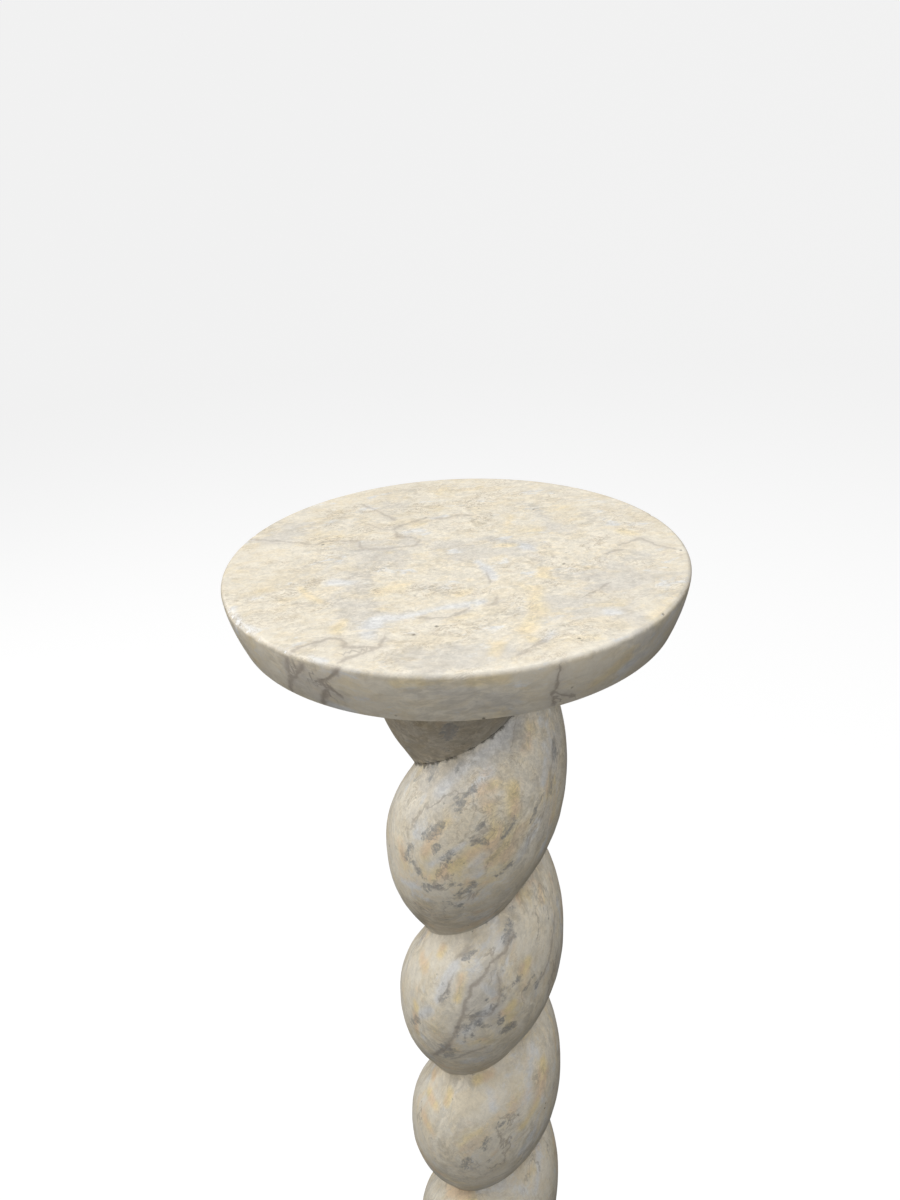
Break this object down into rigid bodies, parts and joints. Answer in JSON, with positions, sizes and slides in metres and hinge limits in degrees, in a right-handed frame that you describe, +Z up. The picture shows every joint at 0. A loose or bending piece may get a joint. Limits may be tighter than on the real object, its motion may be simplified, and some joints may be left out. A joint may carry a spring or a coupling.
{
  "type": "column display stand",
  "caption": "Stone display stand: a round bowed-edge top slab on a rope-twist shaft, on a plain round base slab.",
  "frame": {"origin": "centre of the base slab's underside, where the stand meets the floor", "axes": "+Z up along the shaft, -Y towards the side the picture shows, +X to the picture's right"},
  "size_m": [0.28, 0.28, 0.96],
  "materials": {
    "slab_stone": "honed and waxed cream limestone marble with grey-brown and bluish-white veins, ochre spots and fine pits",
    "shaft_stone": "honed cream limestone marble with blue-grey blotches, whitish and ochre bands on the slant, dirt in the groove",
    "base_stone": "honed cream limestone marble, greyer and more worn at the foot"
  },
  "bodies": {
    "root": {"top_slab": "slab_stone", "twisted_shaft": "shaft_stone", "base_slab": "base_stone"}
  },
  "joints": []
}
